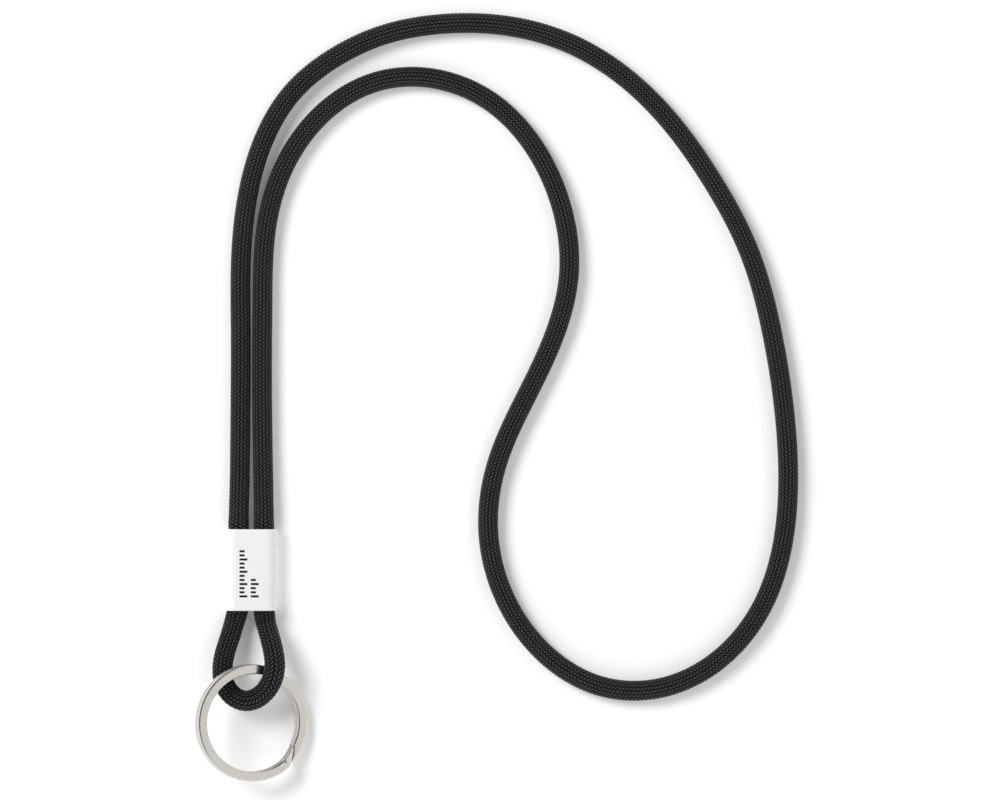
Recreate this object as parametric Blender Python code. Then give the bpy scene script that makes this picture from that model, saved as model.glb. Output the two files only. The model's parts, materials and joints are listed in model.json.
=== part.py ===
"""A lanyard: one length of round braided cord, a crimped sheet-metal clamp and a split ring.

The lanyard lies flat on z = 0. +X runs to the right, +Y from the clamp towards the neck loop,
+Z up. The origin is the centre of the clamp's flat back face. The cord enters the clamp's top
twice, as the neck loop, and leaves its lower mouth twice, as the short key loop. In the left
channel it runs straight through; in the right channel its two sealed ends meet.

The split ring is one flat wire, wound two turns. Where it passes under its own upper turn it steps
down one wire thickness, and so does the turn below. The last part of its lower turn, the tail, is a
separate object that hinges at that step, because a rigid piece cannot spring open. Three empties
stand on the joint axes: the key loop's bend at the mouth, the ring's swivel and the tail's opening.
"""

from math import cos, pi, radians, sin

import bmesh
import bpy
import numpy as np
from mathutils import Matrix, Vector

MM = 0.001
GAP = 0.3  # between touching pieces

# Cord
CORD_DIAMETER = 5.9
CORD_RADIUS = CORD_DIAMETER / 2
CORD_BEVEL_RESOLUTION = 4
NECK_POINT_SPACING = 12.5
LOOP_POINT_SPACING = 3.0
BALL_ANGLES = (75, 50, 25)  # rings of the round leg ends, in degrees from the leg's last section

# Crimp clamp
CLAMP_WIDTH = 15.2
CLAMP_LENGTH = 23.9
CLAMP_THICKNESS = 7.2
CLAMP_SHEET = 0.65
CLAMP_CORNER_RADIUS = 3.2
SEAM_X = 3.4
SEAM_WIDTH = 0.35
CHANNEL_X = 3.7
CHANNEL_Z = CLAMP_THICKNESS / 2
MOUTH_Y = -CLAMP_LENGTH / 2

# Cord inside the clamp, pressed a little flat
RUN_WIDTH = 5.9
RUN_HEIGHT = 5.3
SHEATH_WALL = 0.75
NECK_STUB = 0.55  # how far each run shows above the clamp
SEAL_THICKNESS = 0.8
SQUARENESS = 2.5  # exponent of the pressed section; 2 is an ellipse

# Split ring
RING_RADIUS = 17.1
RING_BAND = 2.85
WIRE_THICKNESS = 1.75
COIL_PITCH = WIRE_THICKNESS + GAP
RING_TILT = radians(20)  # left side raised
RING_CENTRE_X = 0.15
RING_CENTRE_Y = -44.6
UPPER_END_ANGLE = 87.0  # the wire's visible end, in degrees round the ring from its right side
STEP_ANGLE = 313.0  # where the upper turn starts to step down, and where the tail is cut off
STEP_LENGTH_ANGLE = 20.0
CUT_ANGLE = 1.2  # the cut between the main coil and the tail
LOWER_END_ANGLE = 92.0
TURN = 360.0
RING_CHAMFER = 0.25
RING_SEGMENT_ANGLE = 5.0

# Height of the ring's own centre, so that the lowest coil's right rim touches z = 0
RING_CENTRE_Z = RING_RADIUS * sin(RING_TILT) + (COIL_PITCH + WIRE_THICKNESS / 2) * cos(RING_TILT)

# The key loop's legs start as half balls, GAP outside the mouth, centred on the bend axis
BEND_Y = MOUTH_Y - GAP - CORD_RADIUS
NECK_START_Y = CLAMP_LENGTH / 2 + NECK_STUB + GAP
ON_FLOOR = CORD_RADIUS + 0.03

NECK_ROUTE = [
    (-3.7, NECK_START_Y, CHANNEL_Z),
    (-3.5, 22, 3.3),
    (-3.2, 45, ON_FLOOR),
    (-3.1, 70, ON_FLOOR),
    (-3.0, 92, ON_FLOOR),
    (-1.2, 109, ON_FLOOR),
    (3.6, 126, ON_FLOOR),
    (12, 140, ON_FLOOR),
    (24, 150, ON_FLOOR),
    (39, 157, ON_FLOOR),
    (57, 160.2, ON_FLOOR),
    (75, 159.6, ON_FLOOR),
    (93, 154.6, ON_FLOOR),
    (109, 145, ON_FLOOR),
    (122, 132.5, ON_FLOOR),
    (135, 114.5, ON_FLOOR),
    (146, 93.5, ON_FLOOR),
    (153, 68.5, ON_FLOOR),
    (157, 40, ON_FLOOR),
    (156.6, 12, ON_FLOOR),
    (150, -10.5, ON_FLOOR),
    (137, -26.5, ON_FLOOR),
    (120, -34.7, ON_FLOOR),
    (102, -34, ON_FLOOR),
    (86, -24.5, ON_FLOOR),
    (74.5, -8.5, ON_FLOOR),
    (69.5, 12, ON_FLOOR),
    (72.2, 31.5, ON_FLOOR),
    (80.5, 50.5, ON_FLOOR),
    (88.8, 68.5, ON_FLOOR),
    (93.2, 87, ON_FLOOR),
    (91, 106.5, ON_FLOOR),
    (83, 124, ON_FLOOR),
    (70, 137.5, ON_FLOOR),
    (53, 144.2, ON_FLOOR),
    (35.5, 142.8, ON_FLOOR),
    (20, 133, ON_FLOOR),
    (9.5, 118, ON_FLOOR),
    (4.5, 101, ON_FLOOR),
    (3.3, 80, ON_FLOOR),
    (3.2, 48, ON_FLOOR),
    (3.6, 22, 3.3),
    (3.7, NECK_START_Y, CHANNEL_Z),
]

# Left leg under the ring, round the bottom inside its hole, right leg over the ring
LOOP_ROUTE = [
    (-4.9, BEND_Y, CHANNEL_Z),
    (-6.3, -20, 4.6),
    (-7.8, -25, 5.9),
    (-8.3, -29.5, 6.8),
    (-7.7, -33.2, 7.2),
    (-5.6, -36.4, 7.7),
    (-1.5, -38.2, 8.5),
    (2.4, -37.0, 9.4),
    (5.3, -34.0, 10.5),
    (6.8, -30.5, 10.9),
    (7.1, -26.8, 10.2),
    (6.3, -22.4, 8.2),
    (5.1, -18.3, 5.4),
    (4.2, BEND_Y, CHANNEL_Z),
]


def material(name, colour, roughness, metallic=0.0):
    """A Principled material of one colour."""
    made = bpy.data.materials.new(name)
    made.use_nodes = True
    shader = made.node_tree.nodes["Principled BSDF"]
    shader.inputs["Base Color"].default_value = (*colour, 1.0)
    shader.inputs["Roughness"].default_value = roughness
    shader.inputs["Metallic"].default_value = metallic
    return made


def add_object(name, data, look, parent=None, origin=(0, 0, 0)):
    """Links data as an object with its own material. Its shape is in millimetres about origin."""
    made = bpy.data.objects.new(name, data)
    data.transform(Matrix.Scale(MM, 4) @ Matrix.Translation(-Vector(origin)))
    data.materials.append(material(name + "_look", *look))
    bpy.context.scene.collection.objects.link(made)
    if parent is None:
        made.location = Vector(origin) * MM
    else:
        made.parent = parent
    return made


def add_empty(name, place, parent=None):
    """An axis marker at place in millimetres, which is given in the scene and not under parent."""
    made = bpy.data.objects.new(name, None)
    bpy.context.scene.collection.objects.link(made)
    at = Vector(place)
    if parent is not None:
        made.parent = parent
        at -= Vector(parent["place"])
    made["place"] = place
    made.location = at * MM
    return made


def mesh_from_sections(name, sections):
    """A closed mesh from equal rings of points, capped at both ends. Its normals point out."""
    bm = bmesh.new()
    rings = [[bm.verts.new(point) for point in section] for section in sections]
    count = len(rings[0])
    for before, after in zip(rings, rings[1:]):
        for i in range(count):
            j = (i + 1) % count
            bm.faces.new((before[i], before[j], after[j], after[i]))
    bm.faces.new(rings[0])
    bm.faces.new(rings[-1])
    bmesh.ops.recalc_face_normals(bm, faces=bm.faces)
    made = bpy.data.meshes.new(name)
    bm.to_mesh(made)
    bm.free()
    return made


def smooth(mesh, angle=35):
    """Shades round walls smooth and keeps real edges sharp."""
    mesh.shade_smooth()
    mesh.set_sharp_from_angle(angle=radians(angle))
    return mesh


def smooth_route(points, spacing):
    """Evenly spaced points on the natural cubic spline through points, timed by chord length."""
    knots = np.array(points, float)
    time = np.concatenate(([0], np.cumsum(np.linalg.norm(np.diff(knots, axis=0), axis=1))))
    step = np.diff(time)
    slope = np.diff(knots, axis=0) / step[:, None]
    size = len(knots)
    system = np.eye(size)
    right = np.zeros_like(knots)
    for i in range(1, size - 1):
        system[i, i - 1 : i + 2] = step[i - 1], 2 * (step[i - 1] + step[i]), step[i]
        right[i] = 6 * (slope[i] - slope[i - 1])
    bend = np.linalg.solve(system, right)

    def at(t):
        i = np.clip(np.searchsorted(time, t) - 1, 0, size - 2)
        a, b = (time[i + 1] - t)[:, None], (t - time[i])[:, None]
        h = step[i][:, None]
        cubic = (bend[i] * a**3 + bend[i + 1] * b**3) / (6 * h)
        before = (knots[i] / h - bend[i] * h / 6) * a
        after = (knots[i + 1] / h - bend[i + 1] * h / 6) * b
        return cubic + before + after

    fine_time = np.linspace(0, time[-1], 40 * size)
    fine = at(fine_time)
    length = np.concatenate(([0], np.cumsum(np.linalg.norm(np.diff(fine, axis=0), axis=1))))
    count = round(length[-1] / spacing) + 1
    return at(np.interp(np.linspace(0, length[-1], count), length, fine_time))


def cord_tube(name, points, widths=None):
    """A round cord as a bevelled curve with closed ends. widths scale its radius point by point."""
    curve = bpy.data.curves.new(name, "CURVE")
    curve.dimensions = "3D"
    curve.bevel_depth = CORD_RADIUS
    curve.bevel_resolution = CORD_BEVEL_RESOLUTION
    curve.use_fill_caps = True
    spline = curve.splines.new("POLY")
    spline.points.add(len(points) - 1)
    for i, (target, point) in enumerate(zip(spline.points, points)):
        target.co = (*point, 1.0)
        target.radius = 1.0 if widths is None else widths[i]
    return curve


def pressed_section(half_width, half_height, count=24):
    """Points of a rounded oval: |x / a| ** n + |z / b| ** n = 1."""
    power = 2 / SQUARENESS
    out = []
    for i in range(count):
        angle = 2 * pi * i / count
        c, s = cos(angle), sin(angle)
        x = half_width * abs(c) ** power * (1 if c > 0 else -1)
        z = half_height * abs(s) ** power * (1 if s > 0 else -1)
        out.append((x, z))
    return out


def pressed_bar(name, x, low_y, high_y, inset=0.0):
    """A solid bar of the pressed cord's section, smaller by inset all round."""
    section = pressed_section(RUN_WIDTH / 2 - inset, RUN_HEIGHT / 2 - inset)
    ends = [[(x + px, y, CHANNEL_Z + pz) for px, pz in section] for y in (low_y, high_y)]
    return smooth(mesh_from_sections(name, ends))


def pressed_tube(name, x, low_y, high_y, wall):
    """The pressed cord's sheath: the same section with a hollow that is open at both ends."""
    outer = pressed_section(RUN_WIDTH / 2, RUN_HEIGHT / 2)
    inner = pressed_section(RUN_WIDTH / 2 - wall, RUN_HEIGHT / 2 - wall)
    loops = [(outer, low_y), (outer, high_y), (inner, high_y), (inner, low_y)]
    bm = bmesh.new()
    rings = [
        [bm.verts.new((x + px, y, CHANNEL_Z + pz)) for px, pz in section] for section, y in loops
    ]
    count = len(outer)
    for k, ring in enumerate(rings):
        after = rings[(k + 1) % len(rings)]
        for i in range(count):
            j = (i + 1) % count
            bm.faces.new((ring[i], ring[j], after[j], after[i]))
    bmesh.ops.recalc_face_normals(bm, faces=bm.faces)
    made = bpy.data.meshes.new(name)
    bm.to_mesh(made)
    bm.free()
    return smooth(made)


def folded_outline(inset, steps=7):
    """The clamp's section from one side of the seam round to the other, inset from the outside."""
    half = CLAMP_WIDTH / 2 - inset
    low, high = inset, CLAMP_THICKNESS - inset
    radius = CLAMP_CORNER_RADIUS - inset
    corners = [
        (half - radius, low + radius, -90),
        (half - radius, high - radius, 0),
        (radius - half, high - radius, 90),
        (radius - half, low + radius, 180),
    ]
    points = [(SEAM_X + SEAM_WIDTH / 2, low)]
    for x, z, start in corners:
        for i in range(steps + 1):
            angle = radians(start + 90 * i / steps)
            points.append((x + radius * cos(angle), z + radius * sin(angle)))
    points.append((SEAM_X - SEAM_WIDTH / 2, low))
    return points


def clamp_shell():
    """The sheet-metal sleeve, folded round both channels, with an open seam on its back."""
    outer, inner = folded_outline(0), folded_outline(CLAMP_SHEET)
    section = outer + inner[::-1]
    bm = bmesh.new()
    ends = [[bm.verts.new((x, y, z)) for x, z in section] for y in (MOUTH_Y, -MOUTH_Y)]
    count, half = len(section), len(outer)
    for i in range(count):
        j = (i + 1) % count
        bm.faces.new((ends[0][i], ends[0][j], ends[1][j], ends[1][i]))
    for ring in ends:
        for i in range(half - 1):
            bm.faces.new((ring[i], ring[i + 1], ring[count - 2 - i], ring[count - 1 - i]))
    bmesh.ops.recalc_face_normals(bm, faces=bm.faces)
    made = bpy.data.meshes.new("clamp_shell")
    bm.to_mesh(made)
    bm.free()
    return smooth(made)


def wire_section():
    """The flat wire's section as (outwards, up), with chamfered corners."""
    w, h, c = RING_BAND / 2, WIRE_THICKNESS / 2, RING_CHAMFER
    right = [(w - c, -h), (w, c - h), (w, h - c), (w - c, h)]
    return right + [(-out, -up) for out, up in right]


def ring_point(angle, outwards, up):
    """A point of the ring in the scene. angle is in degrees round the ring, up is along its axis."""
    radius = RING_RADIUS - RING_BAND / 2 + outwards
    x, y = radius * cos(radians(angle)), radius * sin(radians(angle))
    return (
        RING_CENTRE_X + x * cos(RING_TILT) + up * sin(RING_TILT),
        RING_CENTRE_Y + y,
        RING_CENTRE_Z - x * sin(RING_TILT) + up * cos(RING_TILT),
    )


def coil(name, start, stop, level):
    """The wire from one angle to another, with its middle at level(angle) above the ring's centre."""
    count = round((stop - start) / RING_SEGMENT_ANGLE)
    sections = []
    for i in range(count + 1):
        angle = start + (stop - start) * i / count
        sections.append([ring_point(angle, out, level(angle) + up) for out, up in wire_section()])
    return smooth(mesh_from_sections(name, sections))


def main_level(angle):
    """The main coil starts one pitch up and eases down to the middle level after STEP_ANGLE."""
    done = min(max((angle - STEP_ANGLE) / STEP_LENGTH_ANGLE, 0), 1)
    return COIL_PITCH * (1 - done * done * (3 - 2 * done))


def tail_level(angle):
    """The tail is one pitch down all the way."""
    return -COIL_PITCH


def half_ball(end, before):
    """Points beyond a leg's end that round it off, outermost first."""
    outwards = (end - before) / np.linalg.norm(end - before)
    return [end + outwards * CORD_RADIUS * sin(radians(angle)) for angle in BALL_ANGLES]


def with_round_ends(points):
    """The route with a half ball beyond both of its ends, and the width of the cord at each point."""
    start = half_ball(points[0], points[1])
    stop = half_ball(points[-1], points[-2])[::-1]
    widths = [cos(radians(angle)) for angle in BALL_ANGLES]
    return np.vstack([start, points, stop]), widths + [1.0] * len(points) + widths[::-1]


WHITE_PAINT = ((0.86, 0.87, 0.87), 0.3)
BLACK_BRAID = ((0.012, 0.012, 0.013), 0.75)
CORE_YARN = ((0.05, 0.05, 0.052), 0.85)
MELTED_END = ((0.008, 0.008, 0.008), 0.35)
NICKEL = ((0.62, 0.6, 0.56), 0.28, 1.0)


def main():
    for old in list(bpy.data.objects):
        bpy.data.objects.remove(old)

    add_object("clamp_shell", clamp_shell(), WHITE_PAINT)

    neck_top = CLAMP_LENGTH / 2 + NECK_STUB
    seal_face = GAP / 2
    cut = seal_face + SEAL_THICKNESS + GAP
    runs = [
        ("through_run", -CHANNEL_X, MOUTH_Y, neck_top),
        ("neck_end", CHANNEL_X, cut, neck_top),
        ("loop_end", CHANNEL_X, MOUTH_Y, -cut),
    ]
    for name, x, low, high in runs:
        sheath, core = name + "_sheath", name + "_core"
        add_object(sheath, pressed_tube(sheath, x, low, high, SHEATH_WALL), BLACK_BRAID)
        add_object(core, pressed_bar(core, x, low, high, SHEATH_WALL + GAP), CORE_YARN)
    for name, side in (("neck_end_seal", 1), ("loop_end_seal", -1)):
        low, high = sorted((side * seal_face, side * (seal_face + SEAL_THICKNESS)))
        add_object(name, pressed_bar(name, CHANNEL_X, low, high), MELTED_END)

    neck = cord_tube("neck_cord", smooth_route(NECK_ROUTE, NECK_POINT_SPACING))
    add_object("neck_cord", neck, BLACK_BRAID)

    bend_place = (0, BEND_Y, CHANNEL_Z)
    bend_axis = add_empty("loop_bend_axis", bend_place)
    loop_points = smooth_route(LOOP_ROUTE, LOOP_POINT_SPACING)
    loop = cord_tube("key_loop_cord", *with_round_ends(loop_points))
    add_object("key_loop_cord", loop, BLACK_BRAID, bend_axis, bend_place)

    swivel_place = (RING_CENTRE_X, RING_CENTRE_Y, RING_CENTRE_Z)
    swivel_axis = add_empty("ring_swivel_axis", swivel_place, bend_axis)
    main_coil = coil("ring_main_coil", UPPER_END_ANGLE, STEP_ANGLE + TURN, main_level)
    add_object("ring_main_coil", main_coil, NICKEL, swivel_axis, swivel_place)

    open_place = ring_point(STEP_ANGLE, RING_BAND / 2, WIRE_THICKNESS / 2 - COIL_PITCH)
    open_axis = add_empty("ring_open_axis", open_place, swivel_axis)
    tail = coil("ring_tail", STEP_ANGLE + CUT_ANGLE, LOWER_END_ANGLE + TURN, tail_level)
    add_object("ring_tail", tail, NICKEL, open_axis, open_place)


main()
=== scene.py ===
# %% [markdown]
# # A braided lanyard with a crimped clamp and a split ring
#
# One cord about 0.8 m long makes the neck loop. Both of its strands go into a short white metal
# clamp, and a small key loop comes out below and holds a flat split ring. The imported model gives
# every place and size, so these cells only add what the eye sees: the stitches of the braid, the
# enamel on the clamp and the satin nickel of the ring.

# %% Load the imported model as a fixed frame
import json

import bpy
import numpy as np
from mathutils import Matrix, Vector

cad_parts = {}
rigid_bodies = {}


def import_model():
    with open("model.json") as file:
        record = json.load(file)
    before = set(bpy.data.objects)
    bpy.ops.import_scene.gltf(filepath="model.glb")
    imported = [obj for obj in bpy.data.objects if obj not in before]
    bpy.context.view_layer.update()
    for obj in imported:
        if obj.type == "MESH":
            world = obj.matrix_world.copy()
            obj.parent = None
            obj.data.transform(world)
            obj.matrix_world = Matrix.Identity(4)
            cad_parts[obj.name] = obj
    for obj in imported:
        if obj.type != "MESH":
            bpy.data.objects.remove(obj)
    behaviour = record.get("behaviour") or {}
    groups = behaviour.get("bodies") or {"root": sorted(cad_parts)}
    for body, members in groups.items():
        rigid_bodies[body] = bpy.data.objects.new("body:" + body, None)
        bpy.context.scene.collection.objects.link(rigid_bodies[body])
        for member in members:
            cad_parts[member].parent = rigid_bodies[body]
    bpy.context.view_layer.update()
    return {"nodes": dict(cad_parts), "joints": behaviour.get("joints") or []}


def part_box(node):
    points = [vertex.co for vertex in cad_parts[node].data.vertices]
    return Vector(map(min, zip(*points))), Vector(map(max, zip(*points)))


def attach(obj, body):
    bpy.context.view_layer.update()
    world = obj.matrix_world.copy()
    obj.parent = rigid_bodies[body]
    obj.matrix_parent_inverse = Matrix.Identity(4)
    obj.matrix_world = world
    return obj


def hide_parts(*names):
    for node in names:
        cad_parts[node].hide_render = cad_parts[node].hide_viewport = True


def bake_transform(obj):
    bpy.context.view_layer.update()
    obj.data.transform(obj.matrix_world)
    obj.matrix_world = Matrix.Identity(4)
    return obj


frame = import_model()
MM = 0.001
print("pieces in the frame:", sorted(frame["nodes"]))

# %% [markdown]
# ## The camera
#
# The lanyard lies flat and is seen from straight above. A long lens from two metres up keeps the
# cord the same width across the whole picture. A nearer camera with a short lens would lean every
# raised piece outwards, so the long one is used.

# %% Put the camera above the middle of the lanyard
CAMERA_HEIGHT = 2.0
VIEW_WIDTH = 293.4 * MM  # how much of the table the picture shows from side to side
VIEW_MIDDLE = (72.97 * MM, 49.8 * MM)
CORD_LEVEL = 3 * MM  # where the cord's middle lies
SENSOR_WIDTH = 36.0

camera_data = bpy.data.cameras.new("top_camera")
camera_data.sensor_width = SENSOR_WIDTH
camera_data.lens = SENSOR_WIDTH * CAMERA_HEIGHT / VIEW_WIDTH
camera_data.clip_end = 20
camera = bpy.data.objects.new("top_camera", camera_data)
camera.location = (*VIEW_MIDDLE, CAMERA_HEIGHT + CORD_LEVEL)
bpy.context.scene.collection.objects.link(camera)
bpy.context.scene.camera = camera
print("lens in mm:", round(camera_data.lens, 1))

# %% [markdown]
# ## The line that the cord follows
#
# A limp cord never turns a corner: its curvature changes slowly. A natural cubic spline through a
# few points has exactly that quality. It is the same curve as in the solid model, worked out from
# the same points, so the braid lies where the solid cord lies. A Bezier curve would do as well,
# but its handles would have to be guessed.

# %% The route points, in metres
FLOOR_LEVEL = 2.98  # the cord's middle when it lies on the table, in mm
NECK_ROUTE = MM * np.array([
    (-3.7, 11.1, 3.6), (-3.7, 12.8, 3.6), (-3.5, 22, 3.3), (-3.2, 45, FLOOR_LEVEL),
    (-3.1, 70, FLOOR_LEVEL), (-3.0, 92, FLOOR_LEVEL), (-1.2, 109, FLOOR_LEVEL),
    (3.6, 126, FLOOR_LEVEL), (12, 140, FLOOR_LEVEL), (24, 150, FLOOR_LEVEL),
    (39, 157, FLOOR_LEVEL), (57, 160.2, FLOOR_LEVEL), (75, 159.6, FLOOR_LEVEL),
    (93, 154.6, FLOOR_LEVEL), (109, 145, FLOOR_LEVEL), (122, 132.5, FLOOR_LEVEL),
    (135, 114.5, FLOOR_LEVEL), (146, 93.5, FLOOR_LEVEL), (153, 68.5, FLOOR_LEVEL),
    (157, 40, FLOOR_LEVEL), (156.6, 12, FLOOR_LEVEL), (150, -10.5, FLOOR_LEVEL),
    (137, -26.5, FLOOR_LEVEL), (120, -34.7, FLOOR_LEVEL), (102, -34, FLOOR_LEVEL),
    (86, -24.5, FLOOR_LEVEL), (74.5, -8.5, FLOOR_LEVEL), (69.5, 12, FLOOR_LEVEL),
    (72.2, 31.5, FLOOR_LEVEL), (80.5, 50.5, FLOOR_LEVEL), (88.8, 68.5, FLOOR_LEVEL),
    (93.2, 87, FLOOR_LEVEL), (91, 106.5, FLOOR_LEVEL), (83, 124, FLOOR_LEVEL),
    (70, 137.5, FLOOR_LEVEL), (53, 144.2, FLOOR_LEVEL), (35.5, 142.8, FLOOR_LEVEL),
    (20, 133, FLOOR_LEVEL), (9.5, 118, FLOOR_LEVEL), (4.5, 101, FLOOR_LEVEL),
    (3.3, 80, FLOOR_LEVEL), (3.2, 48, FLOOR_LEVEL), (3.6, 22, 3.3), (3.7, 12.8, 3.6),
    (3.7, 11.1, 3.6),
])
LOOP_ROUTE = MM * np.array([
    (-3.7, -11.1, 3.6), (-4.9, -15.2, 3.6), (-6.3, -20, 4.6), (-7.8, -25, 5.9),
    (-8.3, -29.5, 6.8), (-7.7, -33.2, 7.2), (-5.6, -36.4, 7.7), (-1.5, -38.2, 8.5),
    (2.4, -37.0, 9.4), (5.3, -34.0, 10.5), (6.8, -30.5, 10.9), (7.1, -26.8, 10.2),
    (6.3, -22.4, 8.2), (5.1, -18.3, 5.4), (4.2, -15.2, 3.6), (3.7, -11.1, 3.6),
])
print("route points:", len(NECK_ROUTE), "and", len(LOOP_ROUTE))


# %% A smooth line through the points
def smooth_line(points, spacing=0.5 * MM):
    """Natural cubic spline: between two points the curve is a cubic, its second derivative is
    continuous, and it is zero at both ends. Returns evenly spaced points and their distances."""
    time = np.append(0, np.cumsum(np.linalg.norm(np.diff(points, axis=0), axis=1)))
    step = np.diff(time)
    slope = np.diff(points, axis=0) / step[:, None]
    system, right = np.eye(len(points)), np.zeros_like(points)
    inner = np.arange(1, len(points) - 1)
    system[inner, inner - 1] = step[:-1]
    system[inner, inner] = 2 * (step[:-1] + step[1:])
    system[inner, inner + 1] = step[1:]
    right[1:-1] = 6 * np.diff(slope, axis=0)
    bend = np.linalg.solve(system, right)

    def at(t):
        i = np.clip(np.searchsorted(time, t) - 1, 0, len(points) - 2)
        a, b, h = (time[i + 1] - t)[:, None], (t - time[i])[:, None], step[i][:, None]
        cubic = (bend[i] * a**3 + bend[i + 1] * b**3) / (6 * h)
        before = (points[i] / h - bend[i] * h / 6) * a
        return cubic + before + (points[i + 1] / h - bend[i + 1] * h / 6) * b

    fine_time = np.linspace(0, time[-1], 60 * len(points))
    distance = np.append(0, np.cumsum(np.linalg.norm(np.diff(at(fine_time), axis=0), axis=1)))
    even = np.linspace(0, distance[-1], round(distance[-1] / spacing) + 1)
    return at(np.interp(even, distance, fine_time)), even


neck_line, neck_distance = smooth_line(NECK_ROUTE)
loop_line, loop_distance = smooth_line(LOOP_ROUTE, 0.25 * MM)
print("neck loop in mm:", round(neck_distance[-1] / MM, 1))
print("key loop in mm:", round(loop_distance[-1] / MM, 1))

# %% [markdown]
# ## One skin for everything that is long
#
# The cord, the bent wall of the clamp and the wire of the ring are the same kind of shape: a
# closed outline that is carried along a path. One helper turns such a grid of points into a
# closed mesh. It joins each ring of points to the next with quads, and shuts both ends with a fan.
# Blender's curve bevel could carry an outline too, but it can't change it on the way, and here the
# stitches and the pressed ends need exactly that.


# %% A helper that makes a closed mesh from rings of points
def skin(name, rings, u_edges=None, v_rings=None, v_shift=0.0, uv_name="skin"):
    """rings[j, i] is point i of ring j, running from the side axis towards the up axis, where
    side = travel x up. The surface is the set of quads between rings j and j + 1, and the ends
    are fans to their middles. u_edges and v_rings are the UV values round and along."""
    count, around = rings.shape[:2]
    here = np.arange(count * around).reshape(count, around)
    beside = np.roll(here, -1, axis=1)
    quads = np.stack([here[:-1], here[1:], beside[1:], beside[:-1]], -1).reshape(-1, 4)
    ends = np.broadcast_to([[count * around], [count * around + 1]], (2, around))
    fans = np.concatenate([
        np.stack([here[0], beside[0], ends[0]], -1),
        np.stack([beside[-1], here[-1], ends[1]], -1),
    ])
    points = np.concatenate([rings.reshape(-1, 3), rings[[0, -1]].mean(axis=1)])
    mesh = bpy.data.meshes.new(name)
    mesh.from_pydata(points.tolist(), [], quads.tolist() + fans.tolist())
    if u_edges is not None:
        shape = (count - 1, around)
        left, right = (np.broadcast_to(u, shape) for u in (u_edges[:-1], u_edges[1:]))
        low = np.broadcast_to(v_rings[:-1, None] + v_shift, shape)
        high = np.broadcast_to(v_rings[1:, None] + v_shift, shape)
        corners = np.stack([left, low, left, high, right, high, right, low], -1).ravel()
        corners = np.append(corners, np.zeros(fans.size * 2)).astype(np.float32)
        mesh.uv_layers.new(name=uv_name).data.foreach_set("uv", corners)
    mesh.shade_smooth()
    piece = bpy.data.objects.new(name, mesh)
    bpy.context.scene.collection.objects.link(piece)
    # The volume is a sixth of the sum of a . (b x c) over all triangles that face outwards
    a, b, c, d = (points[quads[:, k]] for k in range(4))
    volume = np.einsum("ij,ij->", a, np.cross(b, c)) + np.einsum("ij,ij->", a, np.cross(c, d))
    a, b, c = (points[fans[:, k]] for k in range(3))
    volume = (volume + np.einsum("ij,ij->", a, np.cross(b, c))) / 6
    print(f"{name}: {2 * len(quads) + len(fans)} triangles, {volume / MM**3:.0f} cubic mm inside")
    return piece


# %% [markdown]
# ## The braid
#
# The cord is a round braid of 32 polyester yarns over a soft core. Each yarn goes over two and
# under two, which makes 16 columns of slanted stitches, every second column leaning the other way:
# a herringbone. A bump map on a smooth tube would be light, but then the outline stays as smooth
# as a hose. Here the rings of the tube are bent into a zigzag, so that their edges run along the
# stitches, and every second ring is lifted. The relief is real and costs few faces.

# %% The sizes of the braid
CORD_RADIUS = 5.9 / 2 * MM
STITCH_COLUMNS = 16
ROW_PITCH = 1.09 * MM
STITCH_RELIEF = 0.23 * MM  # half of the height from the valley between two stitches to a crest
PRESSED_WIDTH, PRESSED_HEIGHT = 6.2 / 2 * MM, 5.3 / 2 * MM  # half sizes in the clamp's mouth
PRESSED_POWER = 0.8  # 1 is an ellipse, and less has fuller corners
STITCH_ARCH = 0.7  # less than 1 makes the two ends of a stitch dive more steeply
STRAIGHT_ROWS = 3  # the zigzag fades over these rows, so that both ends are cut square
print("stitch width in mm:", round(2 * np.pi * CORD_RADIUS / STITCH_COLUMNS / MM, 2))


# %% The braided surface
def ease(x):
    """A smooth step: 3 x squared minus 2 x cubed, held at 0 and 1 outside that range."""
    x = np.clip(x, 0, 1)
    return x * x * (3 - 2 * x)


def carry(distance, line, at):
    """Place, side and up axis at any distance along a line, read off by linear interpolation.
    side is level, and up is square to it and to the direction of travel."""
    travel = np.gradient(line, distance, axis=0)
    travel /= np.linalg.norm(travel, axis=1)[:, None]
    side = np.cross(travel, (0, 0, 1))
    side /= np.linalg.norm(side, axis=1)[:, None]
    up = np.cross(side, travel)
    return (
        np.stack([np.interp(at, distance, values) for values in part.T], -1)
        for part in (line, side, up)
    )


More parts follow.
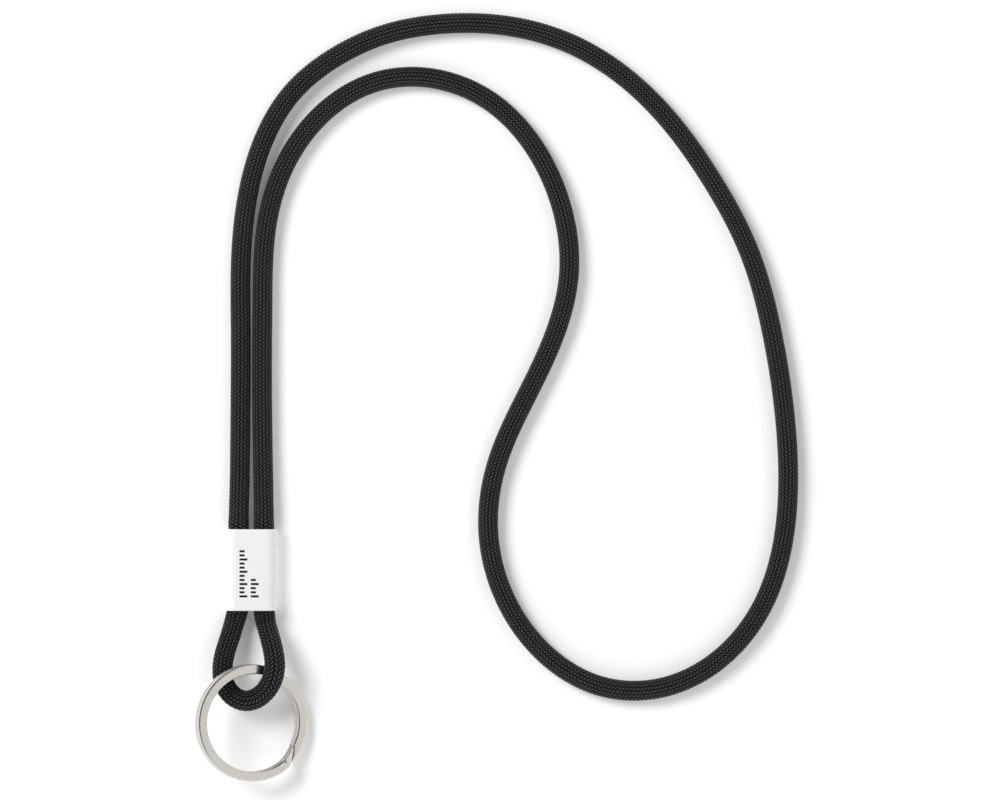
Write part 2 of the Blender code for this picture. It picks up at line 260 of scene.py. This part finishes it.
def braid(name, line, distance, pressed, across=2, along=4):
    """Surface of a herringbone braid in u, the stitch column, and v, the row along the cord.
    The point (u, v) stands at the distance (v + zigzag(u)) * pitch, where zigzag swings between
    half a row ahead and half a row behind from column to column. Its radius follows a cosine of
    v, moved by half a row in odd columns, and sinks where two columns meet. across and along say
    how many points a stitch has each way. Where the surface would go below the table it lies
    flat on it, as a soft cord does. Returns the piece and the middle of the cord, row by row."""
    rows = round(distance[-1] / ROW_PITCH)
    u = np.arange(STITCH_COLUMNS * across) / across
    v = np.arange(rows * along + 1) / along
    zigzag = np.abs(u % 2 - 1) - 0.5
    fade = ease(np.minimum(v, rows - v) / STRAIGHT_ROWS)[:, None]
    at = (v[:, None] + zigzag * fade) * distance[-1] / rows
    place, side, up = carry(distance, line, at)

    odd = np.floor(u) % 2
    from_crest = np.abs((v[:, None] + odd / 2 + 0.5) % 1 - 0.5) * 2
    arch = np.sin(np.pi * (u % 1)) ** STITCH_ARCH
    lift = STITCH_RELIEF * (arch * np.cos(np.pi * from_crest) - 0.5 * (1 - arch) - 0.5)

    angle = 2 * np.pi * u / STITCH_COLUMNS
    squeeze = pressed(at, distance[-1])
    power = 1 + (PRESSED_POWER - 1) * squeeze
    wide = CORD_RADIUS + (PRESSED_WIDTH - CORD_RADIUS) * squeeze
    high = CORD_RADIUS + (PRESSED_HEIGHT - CORD_RADIUS) * squeeze
    x = np.sign(np.cos(angle)) * np.abs(np.cos(angle)) ** power * wide + lift * np.cos(angle)
    z = np.sign(np.sin(angle)) * np.abs(np.sin(angle)) ** power * high + lift * np.sin(angle)
    rings = place + side * x[..., None] + up * z[..., None]
    rings[..., 2] = np.maximum(rings[..., 2], 0)

    u_edges = np.arange(STITCH_COLUMNS * across + 1) / across
    piece = skin(name, rings, u_edges, v, odd / 2, "braid")
    middle, _, _ = carry(distance, line, v[::along] * distance[-1] / rows)
    return piece, middle


# %% [markdown]
# ## The neck loop
#
# The cord is round along its whole way and a little flat where the clamp squeezes it. Its two
# ends stop just inside the clamp's upper mouth, where the pressed runs take over.

# %% Make the neck loop
MOUTH_GRIP = 0.85 * MM  # how deep the cord sits in the mouth
ROUND_AGAIN = 5 * MM  # how far outside the mouth the cord is round again


def pressed_at_ends(at, total):
    """1 inside the mouth, easing to 0 over the first millimetres outside it, at both ends."""
    return 1 - ease((np.minimum(at, total - at) - MOUTH_GRIP) / ROUND_AGAIN)


neck_cord, neck_path = braid("neck_cord_braid", neck_line, neck_distance, pressed_at_ends)
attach(neck_cord, "clamp")
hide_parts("neck_cord")

# %% [markdown]
# ## The key loop
#
# The same cord, seen closest of all, so its stitches get twice as many faces each way. Where its
# right leg rides over the ring it is slightly flat.


# %% Make the key loop
RING_PRESS = 0.7  # how flat the cord gets, where 1 is as flat as in the mouths
PRESS_MIDDLE, PRESS_REACH = 0.6, 0.35  # where, as shares of the loop's length


def pressed_on_ring(at, total):
    """The press of the mouths, or an eased hump of pressure where that is more."""
    hump = RING_PRESS * ease(1 - np.abs(at / total - PRESS_MIDDLE) / PRESS_REACH)
    return np.maximum(pressed_at_ends(at, total), hump)


key_loop, key_path = braid(
    "key_loop_braid", loop_line, loop_distance, pressed_on_ring, across=4, along=8
)
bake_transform(key_loop)
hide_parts("key_loop_cord")

# %% [markdown]
# ## The cord inside the clamp
#
# In the left channel the cord runs straight through. In the right channel its two sealed ends
# meet. The clamp hides these runs, but they are separate parts in the model, so they get the same
# braid, pressed flat from end to end.

# %% Make the three pressed runs
# Where a loop of cord comes in, the run is cut back by this much to leave it room
LOWER_MOUTH, UPPER_MOUTH, RUN_POINTS = 0.95 * MM, 1.5 * MM, 40

for run, cut_below, cut_above in (
    ("through_run", LOWER_MOUTH, UPPER_MOUTH),
    ("neck_end", 0, UPPER_MOUTH),
    ("loop_end", LOWER_MOUTH, 0),
):
    low, high = (np.array(corner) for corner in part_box(run + "_sheath"))
    start, stop = low[1] + cut_below, high[1] - cut_above
    run_distance = np.linspace(0, stop - start, RUN_POINTS)
    run_line = np.tile((low + high) / 2, (RUN_POINTS, 1))
    run_line[:, 1] = start + run_distance
    piece, _ = braid(run + "_braid", run_line, run_distance, lambda at, total: np.ones_like(at))
    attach(piece, "clamp")
    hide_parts(run + "_sheath")

# %% [markdown]
# ## The clamp
#
# A strip of sheet metal 0.65 mm thick, folded round both strands until its edges meet at the
# back, then pressed and lacquered white. Solidify on a folded plane would give the thickness, but
# its rims stay square. So the cross-section of the wall, a long thin rectangle with round
# corners, is carried round the fold, which rounds the lips of both mouths at no extra cost.

# %% The sizes of the clamp, from the frame
clamp_low, clamp_high = (np.array(corner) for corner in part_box("clamp_shell"))
clamp_width, clamp_length, clamp_thickness = clamp_high - clamp_low
clamp_middle = (clamp_low + clamp_high) / 2
CLAMP_SHEET = 0.65 * MM
CLAMP_CORNER = 3.2 * MM
LIP_RADIUS = 0.2 * MM  # of the sheet's edges at both mouths
RIM_RADIUS = 0.16 * MM  # of its edges at the seam
SEAM_X, SEAM_WIDTH = 3.4 * MM, 0.35 * MM
FRONT_DOME = 0.2 * MM
print("clamp in mm:", np.round(np.array([clamp_width, clamp_length, clamp_thickness]) / MM, 2))


# %% The outlines of the wall
def round_rectangle(width, height, radius, steps=5, sides=1):
    """Outline of a rectangle whose corners are quarter circles, counter-clockwise. The long sides
    are split into equal parts."""
    turn = np.radians(np.arange(4)[:, None] * 90 + np.linspace(-90, 0, steps + 1))
    half = (width / 2 - radius, height / 2 - radius)
    corner = np.array([(1, -1), (1, 1), (-1, 1), (-1, -1)]) * half
    arcs = corner[:, None] + radius * np.stack([np.cos(turn), np.sin(turn)], -1)
    if sides == 1:
        return arcs.reshape(-1, 2)
    share = np.linspace(0, 1, sides + 1)[1:-1, None]
    top = arcs[1, -1] * (1 - share) + arcs[2, 0] * share
    bottom = arcs[3, -1] * (1 - share) + arcs[0, 0] * share
    return np.concatenate([arcs[0], arcs[1], top, arcs[2], arcs[3], bottom])


def rounded_end(from_end, radius):
    """How far the outline draws in near an end, to round its rim: a quarter circle, of which
    from_end is the share gone, from 0 at the end to 1 where the rim stops."""
    return radius * (1 - np.sqrt(1 - (1 - np.clip(from_end, 0, 1)) ** 2))


def fold_line(spacing=0.3 * MM):
    """The middle of the folded wall, from one side of the seam round to the other: a rectangle
    with round corners that is open at the seam. Returns evenly spaced points in x and z, their
    normals, which are the direction of travel turned outwards, and their distances."""
    width, height = clamp_width - CLAMP_SHEET, clamp_thickness - CLAMP_SHEET
    outline = round_rectangle(width, height, CLAMP_CORNER - CLAMP_SHEET / 2, steps=24)
    level = -height / 2
    outline = np.concatenate([
        [(SEAM_X + SEAM_WIDTH / 2, level)], outline, [(SEAM_X - SEAM_WIDTH / 2, level)],
    ])
    distance = np.append(0, np.cumsum(np.linalg.norm(np.diff(outline, axis=0), axis=1)))
    rim = RIM_RADIUS * (1 - np.cos(np.linspace(0, np.pi / 2, 5)))
    even = np.linspace(rim[-1], distance[-1] - rim[-1], round(distance[-1] / spacing))
    even = np.concatenate([rim[:-1], even, distance[-1] - rim[-2::-1]])
    line = np.stack([np.interp(even, distance, outline[:, k]) for k in (0, 1)], -1)
    travel = np.gradient(line, even, axis=0)
    travel /= np.linalg.norm(travel, axis=1)[:, None]
    return line, np.stack([travel[:, 1], -travel[:, 0]], -1), even


# %% Make the clamp's shell
def dome(x, z):
    """How far the pressed front stands out at x: a cubic fall from the middle to the sides. It
    grows from nothing at half the clamp's thickness to its whole height at the front."""
    from_middle = (x - clamp_middle[0]) / (clamp_width / 2)
    forward = np.clip((z - clamp_middle[2]) / (clamp_thickness / 2), 0, 1)
    return FRONT_DOME * (1 - np.abs(from_middle) ** 3) * forward


fold, fold_normal, fold_distance = fold_line()
wall = round_rectangle(clamp_length, CLAMP_SHEET, LIP_RADIUS, sides=12)
from_seam = np.minimum(fold_distance, fold_distance[-1] - fold_distance)
rim_inset = rounded_end(from_seam / RIM_RADIUS, RIM_RADIUS)
out = wall[:, 1] * (1 - rim_inset / (CLAMP_SHEET / 2))[:, None]
clamp_x = clamp_middle[0] + fold[:, 0, None] + fold_normal[:, 0, None] * out
clamp_y = clamp_middle[1] + wall[:, 0] * (1 - rim_inset / (clamp_length / 2))[:, None]
clamp_z = clamp_middle[2] + fold[:, 1, None] + fold_normal[:, 1, None] * out
clamp_shell = skin(
    "clamp_enamelled_shell", np.stack([clamp_x, clamp_y, clamp_z + dome(clamp_x, clamp_z)], -1)
)
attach(clamp_shell, "clamp")
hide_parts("clamp_shell")

# %% [markdown]
# ## The print on the clamp
#
# The clamp carries two short lines of black print that read along the cord. Here they are plain
# scale marks of no meaning, in the same two places: a long row and a short one. Pad-printed ink
# is a film some hundredths of a millimetre thick. Each mark is a very flat closed box that follows
# the domed front, so it needs no image and stays sharp from near.

# %% Make the printed marks
MARK_SPACING, MARK_STROKE, INK_FILM = 1.2 * MM, 0.62 * MM, 0.02 * MM
MARK_WIDTH, SHORT_MARK = 2.3 * MM, 0.65  # a short mark has this share of the width
FIRST_MARK = -8.0 * MM


def marks(left, count):
    """Left, right, bottom and top of each mark in a row: mark k lies k spacings up from the first.
    Every third mark has the whole width, and the others are short."""
    k = np.arange(count)
    right = left + MARK_WIDTH * np.where(k % 3 == 0, 1, SHORT_MARK)
    bottom = FIRST_MARK + k * MARK_SPACING
    return np.stack([np.full(count, left), right, bottom, bottom + MARK_STROKE], -1)


mark_sides = np.concatenate([marks(-3.3 * MM, 12), marks(0, 5)])
x = mark_sides[:, [0, 1, 1, 0]]
y = mark_sides[:, [2, 2, 3, 3]]
front = clamp_high[2] + dome(x, clamp_high[2])
mark_points = np.stack([
    np.stack([x, y, front - INK_FILM], -1), np.stack([x, y, front + INK_FILM], -1),
], 1)
box_faces = np.array([
    (3, 2, 1, 0), (4, 5, 6, 7), (0, 1, 5, 4), (1, 2, 6, 5), (2, 3, 7, 6), (3, 0, 4, 7),
])
mark_faces = (np.arange(len(x))[:, None, None] * 8 + box_faces).reshape(-1, 4)
print_mesh = bpy.data.meshes.new("clamp_printed_marks")
print_mesh.from_pydata(mark_points.reshape(-1, 3).tolist(), [], mark_faces.tolist())
clamp_print = bpy.data.objects.new("clamp_printed_marks", print_mesh)
bpy.context.scene.collection.objects.link(clamp_print)
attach(clamp_print, "clamp")
print("printed marks:", len(mark_sides))

# %% [markdown]
# ## The split ring
#
# A flat nickel-plated wire wound twice round. At the lower right the upper turn steps down one
# wire thickness on a slanted ramp, and the turn below it steps down with it, so the two stay
# parallel. Two stacked rings would be easier, but then there is no way in for a key. So one
# outline is carried along two full turns, and only its level changes on the way.

# %% The sizes of the ring
swivel = next(joint for joint in frame["joints"] if joint["name"] == "ring_swivel")
RING_CENTRE = np.array(swivel["pos_m"])
RING_TILT = np.radians(20)  # left side raised
RING_RADIUS, RING_BAND, RING_WIRE = 17.1 * MM, 2.85 * MM, 1.87 * MM
COIL_PITCH = 2.05 * MM
WIRE_EDGE = 0.62 * MM  # radius of the wire's rolled edges
# Angles are in degrees, and places round the ring are counted from its right side
END_EDGE, END_ANGLE = 0.15 * MM, 0.5  # how far the cut ends are broken, and over what angle
WIRE_START, WIRE_END = 87.0, 812.0
STEP_START, STEP_NEAR, STEP_FAR = 310.0, 4.0, 24.0  # where it begins, how long outside and inside
NOTCH_DEPTH, CREASE_DEPTH, DENT_ANGLE = 0.6 * MM, 0.2 * MM, 1.0
WIRE_SPACING, STEP_SPACING = 2.0, 0.4
ring_out = np.array([np.cos(RING_TILT), 0, -np.sin(RING_TILT)])
ring_up = np.array([np.sin(RING_TILT), 0, np.cos(RING_TILT)])
print("ring centre in mm:", np.round(RING_CENTRE / MM, 2))


# %% The level of the wire
def wire_level(angle, out):
    """Height of the wire over the ring's middle plane. It starts one pitch up and loses one pitch
    at each step. A step is a straight ramp, short at the outer edge and long at the inner one. It
    starts with a bell-shaped notch on its inner half and ends in a shallow crease."""
    inner = 0.5 - out / RING_BAND
    length = STEP_NEAR + (STEP_FAR - STEP_NEAR) * inner
    past_step = [angle - STEP_START - turn for turn in (0, 360)]
    steps = sum(np.clip(past / length, 0, 1) for past in past_step)
    notch = sum(np.exp(-((past / DENT_ANGLE) ** 2)) for past in past_step)
    crease = sum(np.exp(-(((past - length) / DENT_ANGLE) ** 2)) for past in past_step)
    dip = NOTCH_DEPTH * notch * np.clip(2 * inner - 0.7, 0, 1) + CREASE_DEPTH * crease
    return COIL_PITCH * (1 - steps) - dip


coarse = np.arange(WIRE_START, WIRE_END + 1, WIRE_SPACING)
rim_angle = END_ANGLE * (1 - np.cos(np.linspace(0, np.pi / 2, 5)))
ramps = [
    np.arange(STEP_START - 3 + turn, STEP_START + STEP_FAR + 2 + turn, STEP_SPACING)
    for turn in (0, 360)
]
wire_angle = np.unique(np.round(np.concatenate([
    coarse, *ramps, WIRE_START + rim_angle, WIRE_END - rim_angle,
]), 4))
print("sections along the wire:", len(wire_angle))

# %% Make the ring's wire
section = round_rectangle(RING_BAND, RING_WIRE, WIRE_EDGE, steps=8, sides=8)
from_cut = np.minimum(wire_angle - WIRE_START, WIRE_END - wire_angle)
shrink = rounded_end(from_cut / END_ANGLE, END_EDGE)
out = section[:, 0] * (1 - shrink / (RING_BAND / 2))[:, None]
high = section[:, 1] * (1 - shrink / (RING_WIRE / 2))[:, None]
radius = RING_RADIUS - RING_BAND / 2 + out
turn = np.radians(wire_angle)[:, None]
up = wire_level(wire_angle[:, None], out) + high
rings = (
    RING_CENTRE
    + (radius * np.cos(turn))[..., None] * ring_out
    + (radius * np.sin(turn))[..., None] * (0, 1, 0)
    + up[..., None] * ring_up
)
# The UV map counts millimetres round the section and along the wire
outline = np.append(section, section[:1], axis=0)
round_section = np.append(0, np.cumsum(np.linalg.norm(np.diff(outline, axis=0), axis=1))) / MM
along_coil = np.radians(wire_angle) * RING_RADIUS / MM
split_ring = skin("split_ring_wire", rings, round_section, along_coil, uv_name="wire")
split_ring.data.set_sharp_from_angle(angle=np.radians(50))
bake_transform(split_ring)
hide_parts("ring_main_coil", "ring_tail")

# %% [markdown]
# ## Finishes
#
# Every finish starts from what the real one is and how its surface was made. Three small helpers
# are enough: one turns the hex value of a colour into the linear numbers that a shader wants, one
# adds a node with its settings and links, and one makes a material with its shader.


# %% Helpers for colours and nodes
def linear(hex_colour):
    """sRGB to linear: a channel up to 0.04045 is divided by 12.92, and a higher one has 0.055
    added, is divided by 1.055 and raised to the power 2.4."""
    value = np.array([int(hex_colour[i : i + 2], 16) / 255 for i in (1, 3, 5)])
    value = np.where(value <= 0.04045, value / 12.92, ((value + 0.055) / 1.055) ** 2.4)
    return (*value.tolist(), 1.0)


def add_node(tree, kind, settings=(), links=()):
    """Adds a node. A setting is a property or the value of an unlinked socket, and a link is the
    socket that feeds one. Sockets that share a name are given by their number."""
    made = tree.nodes.new(kind)
    for name, value in dict(settings).items():
        if isinstance(name, str) and hasattr(made, name):
            setattr(made, name, value)
        else:
            made.inputs[name].default_value = value
    for name, source in dict(links).items():
        tree.links.new(source, made.inputs[name])
    return made


def new_finish(name, settings):
    """A material with one Principled shader. Values that are the same all over stand on it."""
    made = bpy.data.materials.new(name)
    made.use_nodes = True
    shader = made.node_tree.nodes["Principled BSDF"]
    for socket, value in settings.items():
        shader.inputs[socket].default_value = value
    return made, made.node_tree, shader


# %% [markdown]
# ### Braided polyester
#
# Filament polyester is slightly shiny: each stitch is a bundle of fine parallel threads, and its
# highlight spreads across them. The UV map of the braid counts stitches, so the threads follow
# each stitch whichever way it leans. Real filaments are about 0.02 mm thick, too fine to show, so
# six coarser threads are drawn to a stitch. The base colour paints a highlight on each stitch's
# crest, and paints shade in the valleys beside it and at its tucked ends.

# %% Braided black polyester
braided_polyester, tree, shader = new_finish("braided_black_polyester", {
    "Roughness": 0.34, "Specular IOR Level": 0.12, "Anisotropic": 0.6, "Anisotropic Rotation": 0.25,
})
stitch_uv = add_node(tree, "ShaderNodeUVMap", {"uv_map": "braid"})
stitch = add_node(tree, "ShaderNodeSeparateXYZ", {}, {0: stitch_uv.outputs["UV"]})
from_crest, from_tuck = (
    add_node(tree, "ShaderNodeMath", {"operation": "PINGPONG", 1: 0.5}, {0: stitch.outputs[axis]})
    for axis in ("Y", "X")
)
# 1 on a stitch and 0 in the valley beside it, and the same towards its two tucked ends
side_fall = add_node(
    tree, "ShaderNodeMapRange",
    {"interpolation_type": "SMOOTHSTEP", "From Min": 0.44, "From Max": 0.06},
    {"Value": from_crest.outputs[0]},
)
end_fall = add_node(
    tree, "ShaderNodeMapRange",
    {"interpolation_type": "SMOOTHSTEP", "From Min": 0.04, "From Max": 0.26},
    {"Value": from_tuck.outputs[0]},
)
on_stitch = add_node(
    tree, "ShaderNodeMath", {"operation": "MULTIPLY"},
    {0: side_fall.outputs[0], 1: end_fall.outputs[0]},
)
thread_place = add_node(
    tree, "ShaderNodeVectorMath", {"operation": "MULTIPLY", 1: (0.9, 6.0, 1.0)},
    {0: stitch_uv.outputs["UV"]},
)
threads = add_node(
    tree, "ShaderNodeTexNoise", {"Scale": 1.0, "Detail": 2.0, "Roughness": 0.6},
    {"Vector": thread_place.outputs[0]},
)
relief = add_node(
    tree, "ShaderNodeMath", {"operation": "MULTIPLY_ADD", 1: 0.2},
    {0: threads.outputs["Fac"], 2: on_stitch.outputs[0]},
)
bump = add_node(
    tree, "ShaderNodeBump", {"Strength": 1.0, "Distance": 0.16 * MM}, {"Height": relief.outputs[0]}
)
# Painted light and shade: the base colour is light grey on each stitch's crest, a painted
# highlight, and near black in the valleys and at the tucked ends, painted shade. The thread noise
# adds real random tone.
shade = add_node(
    tree, "ShaderNodeMath", {"operation": "MULTIPLY"},
    {0: on_stitch.outputs[0], 1: threads.outputs["Fac"]},
)
painted_stitch_light_and_shade = add_node(
    tree, "ShaderNodeMix", {"data_type": "RGBA", 6: linear("#010101"), 7: linear("#6e6e72")},
    {0: shade.outputs[0]},
)
along_thread = add_node(tree, "ShaderNodeTangent", {"direction_type": "UV_MAP", "uv_map": "braid"})
tree.links.new(painted_stitch_light_and_shade.outputs[2], shader.inputs["Base Color"])
tree.links.new(bump.outputs["Normal"], shader.inputs["Normal"])
tree.links.new(along_thread.outputs[0], shader.inputs["Tangent"])
for piece in [o for o in bpy.data.objects if o.name.endswith("_braid")]:
    piece.data.materials.append(braided_polyester)
    print(piece.name, "is braided polyester")

# %% [markdown]
# ### White enamel
#
# A sprayed and baked lacquer, even and smooth to the touch. It shows a clear highlight where the
# sheet turns, and a faint orange peel: ripples about a millimetre long and some thousandths high.
# A mirror-smooth white would look like plastic, so the peel is worth its two nodes.

# %% White enamel
white_enamel, tree, shader = new_finish("baked_white_enamel", {
    "Roughness": 0.26, "IOR": 1.5, "Coat Weight": 0.25, "Coat Roughness": 0.08,
})
where = add_node(tree, "ShaderNodeTexCoord")
peel = add_node(
    tree, "ShaderNodeTexNoise", {"Scale": 1 / (1.1 * MM), "Detail": 1.5},
    {"Vector": where.outputs["Object"]},
)
peel_bump = add_node(
    tree, "ShaderNodeBump", {"Strength": 0.5, "Distance": 0.012 * MM},
    {"Height": peel.outputs["Fac"]},
)
cloud = add_node(
    tree, "ShaderNodeTexNoise", {"Scale": 1 / (9 * MM), "Detail": 1.0},
    {"Vector": where.outputs["Object"]},
)
white = add_node(
    tree, "ShaderNodeMix", {"data_type": "RGBA", 6: linear("#ebedec"), 7: linear("#eff0ef")},
    {0: cloud.outputs["Fac"]},
)
tree.links.new(white.outputs[2], shader.inputs["Base Color"])
tree.links.new(peel_bump.outputs["Normal"], shader.inputs["Normal"])
clamp_shell.data.materials.append(white_enamel)
print(clamp_shell.name, "is white enamel")

# %% [markdown]
# ### Black ink
#
# Pad-printing ink is a thin even layer, a little less shiny than the lacquer under it. The pad
# leaves it very slightly uneven, as a fine speckle.

# %% Black ink
black_ink, tree, shader = new_finish("pad_printed_black_ink", {"Roughness": 0.42})
where = add_node(tree, "ShaderNodeTexCoord")
speckle = add_node(
    tree, "ShaderNodeTexNoise", {"Scale": 1 / (0.25 * MM), "Detail": 2.0},
    {"Vector": where.outputs["Object"]},
)
ink = add_node(
    tree, "ShaderNodeMix", {"data_type": "RGBA", 6: linear("#0b0b0c"), 7: linear("#1c1c1d")},
    {0: speckle.outputs["Fac"]},
)
ink_bump = add_node(
    tree, "ShaderNodeBump", {"Strength": 0.3, "Distance": 0.01 * MM},
    {"Height": speckle.outputs["Fac"]},
)
tree.links.new(ink.outputs[2], shader.inputs["Base Color"])
tree.links.new(ink_bump.outputs["Normal"], shader.inputs["Normal"])
clamp_print.data.materials.append(black_ink)
print(clamp_print.name, "are black ink")

# %% [markdown]
# ### Satin nickel
#
# Nickel is a warm grey metal. The rings are tumbled with small stones before plating, which
# leaves a fine even grain and softens the highlights, and the wire keeps faint lines along its
# length from rolling. The grain is drawn 0.35 mm wide, coarser than it is, so that it shows.

# %% Satin nickel
satin_nickel, tree, shader = new_finish(
    "tumbled_satin_nickel", {"Metallic": 1.0, "Anisotropic": 0.3}
)
where = add_node(tree, "ShaderNodeTexCoord")
grain = add_node(
    tree, "ShaderNodeTexNoise", {"Scale": 1 / (0.35 * MM), "Detail": 3.0, "Roughness": 0.6},
    {"Vector": where.outputs["Object"]},
)
wire_uv = add_node(tree, "ShaderNodeUVMap", {"uv_map": "wire"})
rolled_place = add_node(
    tree, "ShaderNodeVectorMath", {"operation": "MULTIPLY", 1: (9.0, 0.25, 1.0)},
    {0: wire_uv.outputs["UV"]},
)
rolled = add_node(
    tree, "ShaderNodeTexNoise", {"Scale": 1.0, "Detail": 2.0}, {"Vector": rolled_place.outputs[0]}
)
surface = add_node(
    tree, "ShaderNodeMath", {"operation": "MULTIPLY_ADD", 1: 0.5},
    {0: rolled.outputs["Fac"], 2: grain.outputs["Fac"]},
)
grain_bump = add_node(
    tree, "ShaderNodeBump", {"Strength": 0.2, "Distance": 0.012 * MM},
    {"Height": surface.outputs[0]},
)
roughness = add_node(
    tree, "ShaderNodeMapRange", {"From Min": 0.3, "From Max": 0.7, "To Min": 0.24, "To Max": 0.36},
    {"Value": grain.outputs["Fac"]},
)
nickel = add_node(
    tree, "ShaderNodeMix", {"data_type": "RGBA", 6: linear("#cfcbc4"), 7: linear("#dedad3")},
    {0: grain.outputs["Fac"]},
)
along_wire = add_node(tree, "ShaderNodeTangent", {"direction_type": "UV_MAP", "uv_map": "wire"})
tree.links.new(nickel.outputs[2], shader.inputs["Base Color"])
tree.links.new(roughness.outputs[0], shader.inputs["Roughness"])
tree.links.new(grain_bump.outputs["Normal"], shader.inputs["Normal"])
tree.links.new(along_wire.outputs[0], shader.inputs["Tangent"])
split_ring.data.materials.append(satin_nickel)
print(split_ring.name, "is satin nickel")

# %% [markdown]
# ### The hidden core and the sealed ends
#
# The core of the cord is a bundle of loose textured yarn, dull and soft. Its cut ends are melted
# shut, which leaves a glossy black bead full of small dents.

# %% Core yarn
core_yarn, tree, shader = new_finish("textured_core_yarn", {"Roughness": 0.85, "Sheen Weight": 0.3})
where = add_node(tree, "ShaderNodeTexCoord")
stretched = add_node(
    tree, "ShaderNodeVectorMath", {"operation": "MULTIPLY", 1: (1.0, 0.12, 1.0)},
    {0: where.outputs["Object"]},
)
strands = add_node(
    tree, "ShaderNodeTexNoise", {"Scale": 1 / (0.4 * MM), "Detail": 3.0},
    {"Vector": stretched.outputs[0]},
)
yarn = add_node(
    tree, "ShaderNodeMix", {"data_type": "RGBA", 6: linear("#232324"), 7: linear("#4b4b4d")},
    {0: strands.outputs["Fac"]},
)
strand_bump = add_node(
    tree, "ShaderNodeBump", {"Strength": 0.8, "Distance": 0.15 * MM},
    {"Height": strands.outputs["Fac"]},
)
tree.links.new(yarn.outputs[2], shader.inputs["Base Color"])
tree.links.new(strand_bump.outputs["Normal"], shader.inputs["Normal"])
print("core yarn is ready")

# %% Melted ends
melted_polyester, tree, shader = new_finish("melted_black_polyester", {"Roughness": 0.28})
where = add_node(tree, "ShaderNodeTexCoord")
dents = add_node(
    tree, "ShaderNodeTexNoise", {"Scale": 1 / (0.9 * MM), "Detail": 2.0},
    {"Vector": where.outputs["Object"]},
)
melt = add_node(
    tree, "ShaderNodeMix", {"data_type": "RGBA", 6: linear("#08080a"), 7: linear("#1a1a1c")},
    {0: dents.outputs["Fac"]},
)
dent_bump = add_node(
    tree, "ShaderNodeBump", {"Strength": 0.7, "Distance": 0.2 * MM},
    {"Height": dents.outputs["Fac"]},
)
tree.links.new(melt.outputs[2], shader.inputs["Base Color"])
tree.links.new(dent_bump.outputs["Normal"], shader.inputs["Normal"])
print("melted polyester is ready")

# %% Give both to the solids of the frame
for name, node in frame["nodes"].items():
    if name.endswith(("_core", "_seal")):
        for material_slot in node.material_slots:
            material_slot.material = core_yarn if name.endswith("_core") else melted_polyester
        print(name, "is", node.material_slots[0].material.name)

# %% [markdown]
# ## The table and the light
#
# A white table, one large soft light high on the upper left, and an even pale surrounding that
# fills the shadows. A large light near a small object gives soft-edged shadows. Metal shows what
# is round it rather than its own colour, so the surrounding is drawn with care. The table glows
# faintly, which keeps it pure white up to the edge of the shadows. A brighter light would whiten
# it too, but it would bleach the clamp as well.

# %% The floor
TABLE_HALF, TABLE_LEVEL = 6.0, -0.05 * MM
floor_mesh = bpy.data.meshes.new("white_table")
floor_corners = np.array([(-1, -1), (1, -1), (1, 1), (-1, 1)]) * TABLE_HALF
floor_points = [(*corner, TABLE_LEVEL) for corner in floor_corners.tolist()]
floor_mesh.from_pydata(floor_points, [], [(0, 1, 2, 3)])
floor = bpy.data.objects.new("white_table", floor_mesh)
bpy.context.scene.collection.objects.link(floor)
table_finish, tree, shader = new_finish("matt_white_table", {
    "Base Color": linear("#fafafa"), "Roughness": 0.9, "Specular IOR Level": 0.0,
    "Emission Color": linear("#ffffff"), "Emission Strength": 0.13,
})
floor_mesh.materials.append(table_finish)
print("half of the table in metres:", TABLE_HALF)

# %% The key light
key_data = bpy.data.lights.new("soft_key", "AREA")
key_data.shape = "DISK"
key_data.size = 0.9
key_data.energy = 22.5
key = bpy.data.objects.new("soft_key", key_data)
key.location = (-0.95, 0.75, 1.35)
toward_lanyard = Vector((0.05, 0.04, 0)) - key.location
key.rotation_euler = toward_lanyard.to_track_quat("-Z", "Y").to_euler()
key.visible_glossy = False  # seen in the metal, it would whiten every wall that turns to it
bpy.context.scene.collection.objects.link(key)
print("key light in metres from the lanyard:", round(toward_lanyard.length, 2))

# %% The pale surrounding
world = bpy.data.worlds.new("pale_studio")
world.use_nodes = True
tree = world.node_tree
background = tree.nodes["Background"]
direction = add_node(tree, "ShaderNodeTexCoord")
toward_light = add_node(
    tree, "ShaderNodeVectorMath", {"operation": "DOT_PRODUCT", 1: (-0.75, 0.35, 0.3)},
    {0: direction.outputs["Generated"]},
)
sky = add_node(
    tree, "ShaderNodeMapRange",
    {
        "interpolation_type": "SMOOTHSTEP",
        "From Min": -0.8, "From Max": 0.8, "To Min": 0.9, "To Max": 1.0,
    },
    {"Value": toward_light.outputs["Value"]},
)
# A dark oval overhead, where nothing is lit: it draws the dark line along every rounded edge
from_overhead = add_node(
    tree, "ShaderNodeVectorMath",
    {"operation": "MULTIPLY_ADD", 1: (1.9, 1.2, 0.0), 2: (0.24, -0.3, 0.0)},
    {0: direction.outputs["Generated"]},
)
oval = add_node(
    tree, "ShaderNodeVectorMath", {"operation": "LENGTH"}, {0: from_overhead.outputs["Vector"]}
)
overhead = add_node(
    tree, "ShaderNodeMapRange",
    {
        "interpolation_type": "SMOOTHSTEP",
        "From Min": 0.85, "From Max": 1.05, "To Min": 0.02, "To Max": 1.0,
    },
    {"Value": oval.outputs["Value"]},
)
strength = add_node(
    tree, "ShaderNodeMath", {"operation": "MULTIPLY"}, {0: sky.outputs[0], 1: overhead.outputs[0]}
)
tree.links.new(strength.outputs[0], background.inputs["Strength"])
background.inputs["Color"].default_value = linear("#ffffff")
bpy.context.scene.world = world
bpy.context.scene.view_settings.view_transform = "Standard"
print("surrounding:", world.name)
